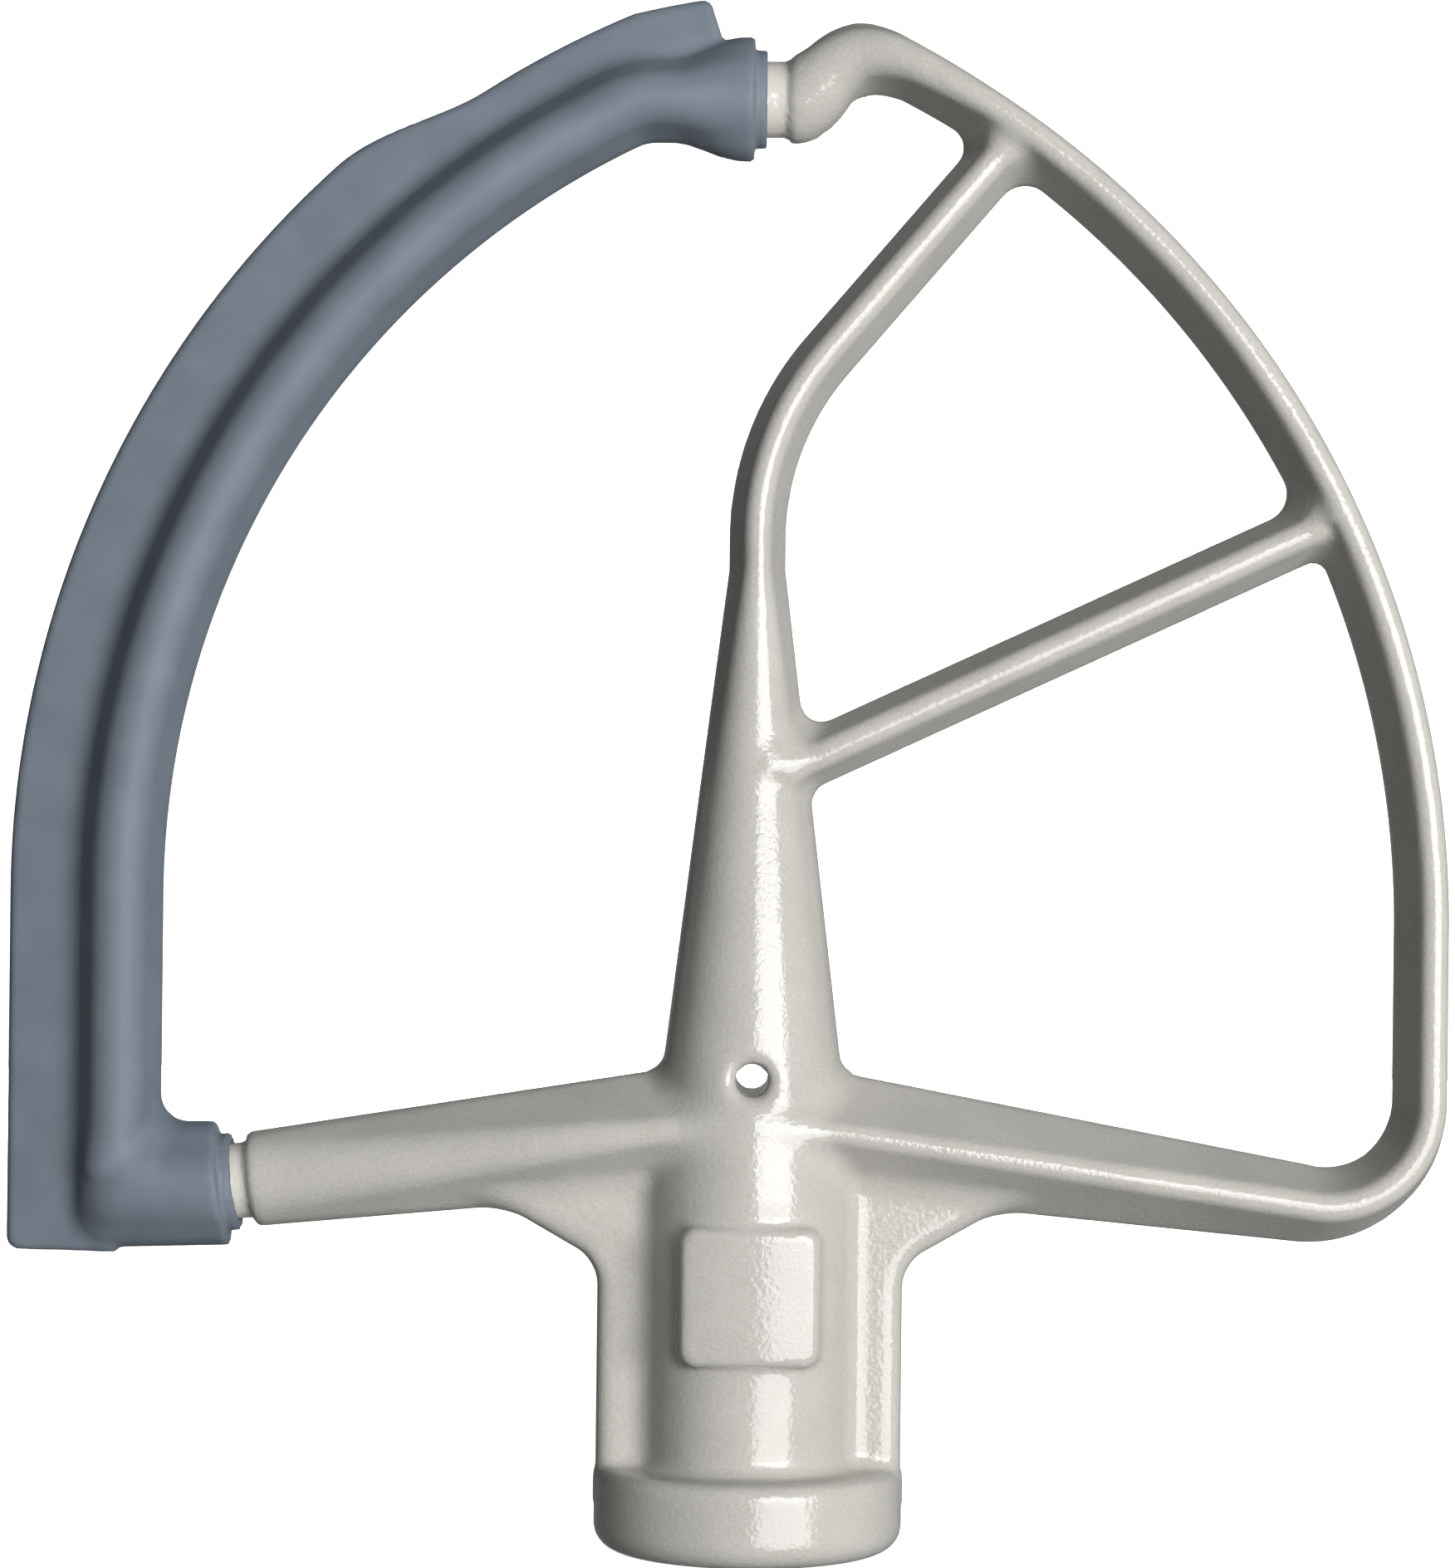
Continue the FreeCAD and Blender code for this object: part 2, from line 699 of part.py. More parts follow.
def run_core(body, cutting=False):
    """Necks and core that the edge is moulded over, from inside the left arm to inside the bulb."""
    neck = round_section(D["neck_width"])
    core = wedge(D["core_width"], D["core_depth"], D["core_nose"], D["core_nose"])
    root_place = on_left_arm(D["left_reach"] - D["neck_length"])
    foot = add_run(body, "low_neck", (*root_place, LEFT_HEADING), neck, [D["neck_length"] * 2], cutting)
    bend = D["core_bend"]
    drop = D["left_drop"]
    start_x = D["tube_x"] + bend + bend * sine(drop)
    centre_z = D["arm_height"] + start_x * tangent(drop) + bend * cosine(drop)
    level = (foot[0] - start_x) / cosine(drop)
    reach = -D["lip_high"] - top_end()[0]
    add_run(body, "core", foot, core, [level, (bend, -(90.0 + drop)), D["tube_centre_z"] - centre_z,
                                       *top_legs(), reach], cutting)
    add_run(body, "high_neck", (D["bulb_end"] + D["neck_length"], D["neck_height"], 180), neck,
            [D["neck_length"] * 2], cutting)


def top_legs():
    """The tube's long arc and the tighter one that levels it at the upper neck."""
    release = D["tube_release"]
    left = release - 90.0
    rise = D["neck_height"] - on_tube(release)[1]
    return [(D["tube_radius"], release - 180.0), (rise / (1.0 - cosine(left)), -left)]


def top_end():
    """Place where the tube's arcs end, level with the upper neck."""
    x, z = on_tube(D["tube_release"])
    radius, turn = top_legs()[1]
    return round_bend(x, z, D["tube_release"] - 90.0, radius, turn)


def frame_socket(body):
    """Blind bore for the drive shaft, with a conical end and a chamfered mouth."""
    sketch = new_sketch(body, "XZ_Plane", "socket_outline")
    radius, depth, chamfer = D["bore_radius"], D["bore_depth"], D["bore_chamfer"]
    corners = [(0, 0), (radius + chamfer, 0), (radius, chamfer), (radius, depth - radius / 2), (0, depth)]
    draw_outline(sketch, corners)
    check_cut(turn_about_axis(body, "Groove", "socket", sketch, 360.0))


def frame_bayonet(body):
    """Slot that lets the shaft's cross pin in, and the pocket that it turns into."""
    sketch = new_sketch(body, "XY_Plane", "slot_outline")
    half, reach = D["slot_width"] / 2, D["slot_reach"]
    draw_outline(sketch, [(0, -half), (reach, -half), (reach, half), (0, half)])
    slot = new_feature(body, "Pocket", "slot", sketch)
    slot.Reversed = True
    slot.setExpression("Length", D["slot_depth"].text)
    check_cut(slot)
    sketch = new_sketch(body, "XZ_Plane", "turn_outline")
    low = D["slot_depth"] - D["turn_height"]
    draw_outline(sketch, [(0, low), (reach, low), (reach, D["slot_depth"]), (0, D["slot_depth"])])
    check_cut(turn_about_axis(body, "Groove", "turn", sketch, D["turn_angle"]))


def frame_cross_hole(body):
    """Cross hole through the spine with a rounded rim at both mouths."""
    sketch = new_sketch(body, "XY_Plane", "hole_outline")
    sketch.setExpression("AttachmentOffset.Base.z", D["hole_height"].text)
    foot, bar = spine_sections()
    share = (D["hole_height"] - D["spine_foot"]) / (D["spine_neck"] - D["spine_foot"])
    face = (foot[1] * (1.0 - share) + bar[1] * share) / 2
    radius, rim = D["hole_radius"], D["hole_round"]
    outer = radius + rim
    front = [(radius, rim - face), (outer, -face), (outer, -face * 1.5), (0, -face * 1.5)]
    back = [(x, -y) for x, y in reversed(front)]
    draw_outline(sketch, front + back, {0: -rim, 6: -rim})
    hole = turn_about_axis(body, "Groove", "cross_hole", sketch, 360.0)
    check_cut(hole)


def make_frame():
    """The die-cast frame: hub, spine, spoke, rib, arms, rim and the core under the edge, one casting."""
    body = new_body("beater_frame")
    frame_web(body)
    frame_barrel(body)
    frame_collar(body)
    frame_spine(body)
    frame_left_arm(body)
    frame_right_side(body)
    frame_rib(body)
    run_core(body)
    frame_plate(body)
    frame_socket(body)
    frame_bayonet(body)
    frame_cross_hole(body)
    return body


# Silicone edge

def boot_stations():
    """Sections that fan round the boot's corner, from the lower lip to the foot of the tube."""
    boot = wedge(D["lip_width"], D["boot_depth"], D["boot_nose"], D["boot_side"])
    tube = tube_section()
    inner_x = D["tube_x"] + D["tube_width"] / 2 + D["boot_hollow"]
    inner_z = D["boot_top"] + D["boot_hollow"]
    outer_x = D["tube_x"] - D["tube_width"] / 2 + D["boot_corner"]
    outer_z = D["boot_bottom"] + D["boot_corner"]
    stations = [(*on_left_arm(D["lip_low"]), LEFT_HEADING, boot)]
    for share in (0.0, 0.2, 0.4, 0.6, 0.8, 1.0):
        facing = 180.0 - 90.0 * share
        near = (inner_x - D["boot_hollow"] * sine(facing), inner_z + D["boot_hollow"] * cosine(facing))
        far = (outer_x - D["boot_corner"] * sine(facing), outer_z + D["boot_corner"] * cosine(facing))
        across = (near[0] - far[0], near[1] - far[1])
        width = root(across[0] * across[0] + across[1] * across[1])
        shape = mixed_wedge(boot, tube, share)
        stations.append(((near[0] + far[0]) / 2, (near[1] + far[1]) / 2, heading_of(*across) + 90.0,
                         [width] + shape[1:]))
    return stations + [(D["tube_x"], inner_z + D["boot_corner"], 90, tube)]


def tube_section():
    """Section of the silicone tube."""
    return wedge(D["tube_width"], D["tube_depth"], D["tube_nose"], D["tube_side"])


def edge_tube(body):
    """Tube from the lower lip round the boot, up the side and over to the flared upper lip."""
    tube = tube_section()
    lip = wedge(D["lip_width"], D["lip_depth"], D["lip_nose"], D["lip_nose"])
    stations = boot_stations()
    add_loft(body, "boot", stations, ruled=True)
    foot = stations[-1]
    end, height, flared = -D["lip_high"], D["neck_height"], D["flare_length"]
    add_run(body, "tube", foot[:3], tube, [D["tube_centre_z"] - foot[1], *top_legs()])
    stations = [(*top_end(), 0, tube)]
    stations += [(end - flared * (1.0 - along), height, 0, mixed_wedge(tube, lip, wide))
                 for along, wide in ((0.15, 0.12), (0.35, 0.42), (0.55, 0.74), (0.78, 0.97), (1.0, 1.0))]
    add_loft(body, "flare", stations, ruled=True)


def edge_rings(body):
    """Thin stepped rings beyond the two lips, round the frame's necks."""
    ring = round_section(D["ring_width"])
    low, length = D["lip_low"], D["ring_length"]
    add_loft(body, "lower_ring", [(*on_left_arm(low + length), LEFT_HEADING, ring),
                                  (*on_left_arm(low - length), LEFT_HEADING, ring)])
    end, height = -D["lip_high"], D["neck_height"]
    add_loft(body, "upper_ring", [(end - length, height, 0, ring), (end + length, height, 0, ring)])


def edge_blade(body):
    """Thin blade along the outside of the tube, with a step down near its tip."""
    sketch = new_sketch(body, "XZ_Plane", "blade_outline")
    full, low = D["blade_reach"], D["blade_reach"] - D["blade_step"]
    edge_x = D["tube_x"] - full
    corner, bottom = D["blade_corner"], D["blade_bottom"]
    middle = (D["step_start"] + D["step_end"]) / 2
    outer = D["tube_radius"] + full
    corners = [(D["tube_x"], bottom), (edge_x + corner, bottom), (edge_x, bottom + corner),
               (edge_x, D["tube_centre_z"]), on_tube(D["step_start"], full),
               on_tube(middle, (full + low) / 2), on_tube(D["step_end"], low), on_tube(D["tip_angle"], low),
               (D["tip_x"], D["tip_z"]), (D["tip_x"] + D["tip_slope"], D["neck_height"]),
               on_tube(D["tube_release"]), (D["tube_x"], D["tube_centre_z"])]
    swing = step_chord(corners[4], corners[5])
    bulges = {1: -corner, 3: -outer, 4: -swing * D["step_crest"], 5: swing * D["step_foot"],
              6: -(outer - D["blade_step"]), 10: D["tube_radius"]}
    draw_outline(sketch, corners, bulges)
    add_pad(body, "blade", sketch, D["blade_thick"])


def step_chord(start, end):
    """Distance between two corners, to which the soft arcs of the blade's step are scaled."""
    across_x, across_z = end[0] - start[0], end[1] - start[1]
    return root(across_x * across_x + across_z * across_z)


def make_edge():
    """The flexible edge: one silicone moulding of tube, lips and blade."""
    body = new_body("flex_edge")
    edge_tube(body)
    edge_rings(body)
    edge_blade(body)
    run_core(body, cutting=True)
    return body


# Build, check and write

bodies = [make_frame(), make_edge()]
for body in bodies:
    body.Tip.Refine = True
doc.recompute()

for item in doc.Objects:
    if "Invalid" in item.State or "Error" in item.State:
        raise RuntimeError("%s failed" % item.Name)
for body in bodies:
    shape = body.Shape
    if shape.isNull() or not shape.isValid() or len(shape.Solids) != 1:
        raise RuntimeError("%s is not one valid solid" % body.Label)

os.makedirs("parts", exist_ok=True)
for body in bodies:
    body.Shape.exportStep("parts/%s.step" % body.Label)
    print("%s %.1f mm3" % (body.Label, body.Shape.Volume))
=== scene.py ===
import math

import bpy
import numpy as np
import openvdb
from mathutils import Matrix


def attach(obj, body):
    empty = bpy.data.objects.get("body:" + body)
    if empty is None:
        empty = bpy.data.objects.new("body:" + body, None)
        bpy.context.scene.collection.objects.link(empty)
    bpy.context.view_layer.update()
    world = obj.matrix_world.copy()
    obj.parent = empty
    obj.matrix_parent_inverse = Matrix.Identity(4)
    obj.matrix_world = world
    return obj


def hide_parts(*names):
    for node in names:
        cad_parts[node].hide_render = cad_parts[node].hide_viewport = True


# A flat beater for a stand mixer: a coated die-cast frame and the silicone edge moulded over its left side.
# Both are worked out as distance fields in millimetres, because a casting's members melt into each other
# in round fillets that no single profile or grid can follow. Z is the drive axis, and the front faces -Y.

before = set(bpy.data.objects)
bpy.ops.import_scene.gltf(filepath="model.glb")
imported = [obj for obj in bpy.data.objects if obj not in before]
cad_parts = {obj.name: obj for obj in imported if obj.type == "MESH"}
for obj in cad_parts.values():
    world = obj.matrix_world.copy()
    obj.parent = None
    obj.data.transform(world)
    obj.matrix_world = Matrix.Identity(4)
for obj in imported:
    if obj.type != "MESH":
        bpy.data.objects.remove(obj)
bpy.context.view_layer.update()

MM = 0.001
STEP = 0.5          # spacing of the points along a member's centre line
FRAME_CELL = 0.78   # cell of the grid that the casting is read from
EDGE_CELL = 0.62    # cell of the grid that the silicone is read from
BAND = 4.0          # depth of field that the grid keeps on either side of the surface
PROBE = 0.05        # distance ahead at which the field's slope is taken
SLOPES = 0.4, 1.6   # least and greatest slope that a point is moved by
FAR = 99.0          # a distance that is beyond every surface
BATCH = 20000       # points that are measured against a centre line at a time
ALL_BUT_HALF = 0.49  # radius of an all but round section, as a share of its width
FRAME_BOX = ((-82.0, -19.5, -1.5), (85.0, 19.5, 187.0))
EDGE_BOX = ((-91.0, -8.5, 33.5), (2.0, 8.5, 187.5))

# Hub
COLLAR_RADIUS, COLLAR_HEIGHT = 18.5, 10.0
COLLAR_ROUND, COLLAR_EDGE = 3.0, 1.6
BARREL_RADIUS, SPINE_FOOT, SPINE_NECK = 12.6, 42.6, 117.5
WING_REACH, WING_HALF, WING_EDGE, WING_TOP, WING_FOOT = 18.3, 3.7, 2.0, 34.45, 6.0
WEB_SLOPE, WEB_HOLLOW = 29.7, 2.4
HUB_FILLET, ARM_FILLET, SPOKE_FILLET, SPOKE_LEVEL = 1.7, 2.0, 3.2, 120.0
COLLAR_FILLET, COLLAR_FLUSH, FLUSH_START, FLUSH_RUN = 1.9, 1.2, 14.0, 4.0
PLATE_HALF, PLATE_CENTRE, PLATE_CORNER = 8.0, 31.3, 2.0
PLATE_FRONT, PLATE_CROWN, PLATE_DRAFT, PLATE_ROUND, PLATE_FILLET = 13.5, 34.0, 0.15, 0.7, 0.5
BORE_RADIUS, BORE_DEPTH, BORE_CONE, SOCKET_ROUND = 6.5, 44.0, 0.89, 0.7
SLOT_HALF, SLOT_REACH, SLOT_DEPTH, TURN_HEIGHT, TURN_ANGLE = 2.9, 10.4, 24.0, 7.0, 60.0
HOLE_RADIUS, HOLE_HEIGHT, HOLE_FALL, HOLE_ROUND = 1.95, 56.6, 0.012, 1.8

# Members: width, depth, radius of the front and back nose, radius of the sides, lean of the nose
SPINE_MIDDLE, SPINE_OVAL = 90.0, (13.6, 15.2, 6.0, 6.3, 0.0)
BAR = (6.8, 14.4, 1.75, 2.5, 0.0)
RIB = (6.8, 13.6, 1.75, 2.5, 0.0)
RIM = (6.5, 18.0, 1.75, 2.5, 0.5)
RIM_TOP = (6.7, 16.8, 2.3, 2.9, 0.3)
ARM_ROOT = (15.2, 20.6, 1.5, 2.5, 0.0)
RIGHT_ARM = (14.6, 20.0, 1.6, 2.5, -0.65)
RIGHT_TIP = (9.4, 18.0, 1.93, 2.5, -0.35)
CORNER = (7.5, 18.0, 1.85, 2.5, 0.1)
LEFT_ARM = (14.8, 20.0, 2.1, 2.6, 0.6)
ARM_HEIGHT, ARM_START, RIGHT_DROP, LEFT_DROP = 51.3, 11.0, 7.9, 7.3
CORNER_RADIUS, RIM_RADIUS, RIM_CENTRE = 12.3, 115.35, (-35.0, 75.0)
RIM_INSIDE, RIM_SWELL = RIM_RADIUS - 3.6, 10.0
RIB_FOOT, RIB_ROOT, RIB_ANGLE = (-35.0, 75.3), 43.5, 25.1
RIB_FILLET, RIB_SKEW, RIB_HALF = 2.7, 0.9, 3.0
SPOKE_HEADING, SPOKE_BEND, SPOKE_CORNER = 49.6, 34.0, 133.9
GOOSE_ANGLE, GOOSE_LEVEL, NECK_HEIGHT = 62.5, 160.0, 174.2
BULB_END, BULB_WIDTH, BULB_RUN, BULB_ROUND, LEFT_ROUND = 3.2, 10.6, 1.0, 0.8, 0.9
CREST, CREST_AT, CREST_HEADING = (8.9, 13.9, 3.3, 3.7, 0.0), (11.95, 179.1), 184.0
FALL, FALL_AT, FALL_HEADING = (8.4, 12.2, 4.0, 4.0, 0.0), (7.95, 177.1), 222.0
LEFT_REACH, LEFT_TIP, NECK_WIDTH, NECK_LENGTH = 60.2, 11.4, 9.1, 4.0
NECK_FILLET, BARE_RADIUS, BARE_INSET, BARE_FADE = 0.35, 5.3, 0.1, 0.3
CORE = (5.4, 8.4, 2.2, 2.2, 0.0)
CORE_BEND, CORE_STEP = 6.2, 0.3

# Silicone edge
TUBE = (10.6, 14.8, 3.6, 4.2, 0.5)
BOOT = (14.9, 14.6, 5.6, 5.2, 0.0)
BOOT_FOOT = (15.1, 15.0, 5.6, 5.2, 0.0)
LIP = (14.9, 14.6, 6.2, 6.0, 0.0)
TUBE_X, TUBE_RADIUS, TUBE_CENTRE_Z, TUBE_RELEASE, TUBE_FLANK = -76.4, 105.9, 78.1, 116.2, 27.0
TUBE_START, TUBE_LEAN_RUN = 45.5, 6.0
BOOT_END, BOOT_LEVEL, BOOT_CORNER = TUBE_X - 12.0, 42.6, 3.4
BOOT_INSET, BOOT_SWELL = 3.0, 14.0
CROTCH_LEFT, CROTCH_FILLET, CROTCH_RUN = 0.3, 3.1, 5.0
LIP_LOW, LIP_HIGH, LIP_ROUND, LIP_SPARE = 63.5, -0.9, 0.45, 2.0
FLARE_LENGTH = 9.3
FLARE = ((0.0, 0.0), (0.15, 0.12), (0.35, 0.42), (0.55, 0.74), (0.78, 0.97), (1.0, 1.0))
RING_RADIUS, RING_LENGTH, RING_FILLET = 5.85, 1.5, 0.3
BLADE_EDGE, BLADE_ROOT, BLADE_TAPER, BLADE_ROUND = 0.9, 2.1, 9.0, 0.75
BLADE_REACH, BLADE_STEP, BLADE_BOTTOM, BLADE_CORNER = 13.1, 3.7, 34.9, 1.6
BLADE_SINK, BLADE_FILLET, BLADE_FADE, FADE_START, FADE_RUN = 2.0, 1.0, 0.4, -15.0, 6.0
STEP_START, STEP_END, TIP_TURN = 132.6, 123.0, 113.0
TIP_X, TIP_Z, TIP_SLOPE, TIP_CORNER = -6.4, 186.1, 0.32, 1.0

# Studio
GLOSS_WHITE = 0.12   # how bright the white surroundings are in a gloss
WORLD_LIGHT = 0.035  # how much light the world gives
PAPER_BOUNCE, PAPER_FACE = 0.16, 0.85  # shade of the paper to the light it throws back, and to the camera
PANEL_WHITE = "#fffefc"


# Fields: each gives the distance in millimetres to a surface, negative inside

def melt(first, second, radius):
    """Join two fields with a round fillet: within the radius of both, the distance is that to a circle."""
    near = np.hypot(np.maximum(radius - first, 0.0), np.maximum(radius - second, 0.0))
    return np.maximum(radius, np.minimum(first, second)) - near


def trim(first, second, radius):
    """Keep what lies inside both fields, with the edge between them rounded to the radius."""
    return -melt(-first, -second, radius)


def carve(solid, tool, radius):
    """Take the tool away from the solid, with the rim of the cut rounded to the radius."""
    return trim(solid, -tool, radius)


def skin(u, v, start, end):
    """Distance to the skin drawn tight round two circles (u, v, radius): their arcs and the tangent between."""
    along_u, along_v = end[0] - start[0], end[1] - start[1]
    length = np.hypot(along_u, along_v)
    ahead = ((u - start[0]) * along_u + (v - start[1]) * along_v) / length
    aside = np.abs((u - start[0]) * along_v - (v - start[1]) * along_u) / length
    slope = (start[2] - end[2]) / length
    level = np.sqrt(1.0 - slope ** 2)
    foot = ahead * level - aside * slope
    flank = ahead * slope + aside * level - start[2]
    before = np.hypot(ahead, aside) - start[2]
    after = np.hypot(ahead - length, aside) - end[2]
    return np.where(foot < 0.0, before, np.where(foot > length * level, after, flank))


def wedge(u, y, section):
    """Distance to a member's section: the hull of two side circles and of the noses in front and behind."""
    width, depth, nose, edge, lean = section
    v = np.abs(y)
    side, rise = width / 2 - edge, depth / 2 - nose
    right = skin(u, v, (side, 0.0, edge), (lean, rise, nose))
    left = skin(u, v, (-side, 0.0, edge), (lean, rise, nose))
    inner_right = ((u - side) * rise + v * (side - lean)) / np.hypot(rise, side - lean)
    inner_left = ((-side - u) * rise + v * (side + lean)) / np.hypot(rise, side + lean)
    return np.minimum(np.minimum(right, left), np.maximum(inner_right, inner_left))


def rounded_section(width):
    """Sizes of a section that is all but round."""
    return (width, width, width * ALL_BUT_HALF, width * ALL_BUT_HALF, 0.0)


def between(first, last, share):
    """Sizes of the section that lies a share of the way from the first to the last."""
    return tuple(a + (b - a) * share for a, b in zip(first, last))


# Centre lines in the XZ plane

def straight(start, end):
    """Points from the start to the end."""
    share = np.linspace(0.0, 1.0, max(2, round(math.dist(start, end) / STEP)))[:, None]
    return np.array(start) * (1.0 - share) + np.array(end) * share


def arc(centre, radius, first, last):
    """Points on a circle from the first angle to the last."""
    count = max(2, round(math.radians(abs(last - first)) * radius / STEP))
    angle = np.radians(np.linspace(first, last, count))
    return np.stack([centre[0] + radius * np.cos(angle), centre[1] + radius * np.sin(angle)], axis=1)


def swing(start, start_heading, end, end_heading):
    """Points on the cubic that leaves and arrives along the two headings, as Hermite's weights give it."""
    reach = math.dist(start, end)
    t = np.linspace(0.0, 1.0, max(4, round(reach / STEP)))[:, None]
    leave, arrive = [np.array([math.cos(math.radians(h)), math.sin(math.radians(h))]) * reach
                     for h in (start_heading, end_heading)]
    return (np.array(start) * (2 * t**3 - 3 * t**2 + 1) + leave * (t**3 - 2 * t**2 + t)
            + np.array(end) * (3 * t**2 - 2 * t**3) + arrive * (t**3 - t**2))


def chain(*legs):
    """A centre line: its points, the direction at each and the length up to each."""
    points = np.concatenate(legs)
    apart = np.hypot(*np.diff(points, axis=0).T)
    points = points[np.concatenate([[True], apart > 1e-6])]
    along = np.concatenate([[0.0], np.cumsum(np.hypot(*np.diff(points, axis=0).T))])
    heading = np.gradient(points, axis=0)
    heading /= np.hypot(*heading.T)[:, None]
    return points, heading, along


def locate(line, x, z):
    """Offset to the right of a centre line, and the length along it, of the nearest point of the line."""
    points, heading, along = line
    x, z = np.broadcast_arrays(x, z)
    offset, length = np.empty(x.size), np.empty(x.size)
    for part in np.array_split(np.arange(x.size), max(1, x.size // BATCH)):
        px, pz = x.ravel()[part], z.ravel()[part]
        gap = (px[:, None] - points[:, 0]) ** 2 + (pz[:, None] - points[:, 1]) ** 2
        nearest = np.argmin(gap, axis=1)
        dx, dz = px - points[nearest, 0], pz - points[nearest, 1]
        hx, hz = heading[nearest].T
        ahead = dx * hx + dz * hz
        aside = dx * hz - dz * hx
        ended = ((nearest == 0) & (ahead < 0.0)) | ((nearest == len(points) - 1) & (ahead > 0.0))
        offset[part] = np.where(ended, np.copysign(np.hypot(aside, ahead), aside), aside)
        length[part] = along[nearest] + ahead
    return offset.reshape(x.shape), length.reshape(x.shape)


def member(line, stations, x, y, z):
    """A member: its section, which changes evenly from station to station, carried along its centre line."""
    u, length = locate(line, x, z)
    at = [station[0] for station in stations]
    sizes = np.array([station[1] for station in stations]).T
    return wedge(u, y, [np.interp(length, at, values) for values in sizes])


def heading_point(start, heading, reach):
    """The place that lies a reach ahead of the start."""
    angle = math.radians(heading)
    return (start[0] + reach * math.cos(angle), start[1] + reach * math.sin(angle))


def on_left_arm(reach):
    """The place on the left arm's centre line at a distance to the left of the drive axis."""
    return (-reach, ARM_HEIGHT - reach * math.tan(math.radians(LEFT_DROP)))


def past_on_left_arm(reach, x, z):
    """How far points lie beyond a place on the left arm, along its centre line, and how far aside of it."""
    place, heading = on_left_arm(reach), math.radians(180.0 + LEFT_DROP)
    beyond = (x - place[0]) * math.cos(heading) + (z - place[1]) * math.sin(heading)
    aside = (x - place[0]) * math.sin(heading) - (z - place[1]) * math.cos(heading)
    return beyond, aside


def right_side():
    """Centre line and stations from the hub along the right arm, round the corner and up the rim to the bulb.

    Each station is a length along the line and the section there."""
    drop = math.radians(RIGHT_DROP)
    centre_x = RIM_CENTRE[0] + RIM_RADIUS - CORNER_RADIUS
    start_x = centre_x - CORNER_RADIUS * math.sin(drop)
    start = (start_x, ARM_HEIGHT - start_x * math.tan(drop))
    centre = (centre_x, start[1] + CORNER_RADIUS * math.cos(drop))
    arm = straight((0.0, ARM_HEIGHT), start)
    corner = arc(centre, CORNER_RADIUS, -90.0 - RIGHT_DROP, 0.0)
    rim = np.concatenate([straight(corner[-1], (corner[-1][0], RIM_CENTRE[1])),
                          arc(RIM_CENTRE, RIM_RADIUS, 0.0, GOOSE_ANGLE)])
    bulb = (BULB_END, NECK_HEIGHT)
    goose = [swing(rim[-1], GOOSE_ANGLE + 90.0, CREST_AT, CREST_HEADING),
             swing(CREST_AT, CREST_HEADING, FALL_AT, FALL_HEADING), swing(FALL_AT, FALL_HEADING, bulb, 180.0)]
    legs = [arm, corner, rim, *goose]
    ends = [chain(*legs[:count + 1])[2][-1] for count in range(len(legs))]
    round_end = rounded_section(BULB_WIDTH)
    stations = [(0.0, ARM_ROOT), (ARM_START, RIGHT_ARM), (ends[0], RIGHT_TIP),
                ((ends[0] + ends[1]) / 2, CORNER), (ends[1], RIM), (ends[2] - RIM_SWELL, RIM),
                (ends[2], RIM_TOP), (ends[3], CREST), (ends[4], FALL),
                (ends[5] - BULB_RUN, round_end), (ends[5], round_end)]
    return chain(*legs), stations


def spine_line():
    """Centre line of the spine, its bend and the spoke, which ends inside the rim."""
    turn = 90.0 - SPOKE_HEADING
    bend_z = SPOKE_CORNER - SPOKE_BEND * math.tan(math.radians(turn / 2))
    bend = arc((SPOKE_BEND, bend_z), SPOKE_BEND, 180.0, 180.0 - turn)
    away = np.array(bend[-1]) - np.array(RIM_CENTRE)
    along = away @ np.array([math.cos(math.radians(SPOKE_HEADING)), math.sin(math.radians(SPOKE_HEADING))])
    reach = math.sqrt(along ** 2 + RIM_INSIDE ** 2 - away @ away) - along
    return chain(straight((0.0, 0.0), (0.0, bend_z)), bend,
                 straight(bend[-1], heading_point(bend[-1], SPOKE_HEADING, reach)))


def tube_top():
    """The long arc of the tube and the tighter one that levels it at the upper neck."""
    centre = (TUBE_X + TUBE_RADIUS, TUBE_CENTRE_Z)
    long_arc = arc(centre, TUBE_RADIUS, 180.0, TUBE_RELEASE)
    left = TUBE_RELEASE - 90.0
    radius = (NECK_HEIGHT - long_arc[-1][1]) / (1.0 - math.cos(math.radians(left)))
    level = (long_arc[-1][0] + radius * math.sin(math.radians(left)), NECK_HEIGHT - radius)
    return [long_arc, arc(level, radius, TUBE_RELEASE, 90.0)]


def core_line():
    """Centre line of the core from inside the left arm, up inside the tube and to inside the bulb."""
    drop = math.radians(LEFT_DROP)
    start_x = TUBE_X + CORE_BEND + CORE_BEND * math.sin(drop)
    start = (start_x, ARM_HEIGHT + start_x * math.tan(drop))
    centre = (TUBE_X + CORE_BEND, start[1] + CORE_BEND * math.cos(drop))
    corner = arc(centre, CORE_BEND, -90.0 - LEFT_DROP, -180.0)
    top = tube_top()
    return chain(straight(on_left_arm(LEFT_REACH - NECK_LENGTH), start), corner,
                 straight(corner[-1], top[0][0]), *top, straight(top[1][-1], (BULB_END, NECK_HEIGHT)))


# Casting

def hub_plate(x, y, z):
    """Wings beside the barrel and the webs above them: one outline with hollow corners, carried through."""
    slope = math.radians(WEB_SLOPE)
    wing = np.abs(x) - WING_REACH
    web = (np.abs(x) - WING_REACH) * math.sin(slope) - (z - WING_TOP) * math.cos(slope)
    arm = z - ARM_HEIGHT + np.abs(x) * math.tan(math.radians(RIGHT_DROP))
    outline = np.maximum(melt(wing, web, WEB_HOLLOW), np.maximum(arm, WING_FOOT - z))
    return trim(outline, np.abs(y) - WING_HALF, WING_EDGE)


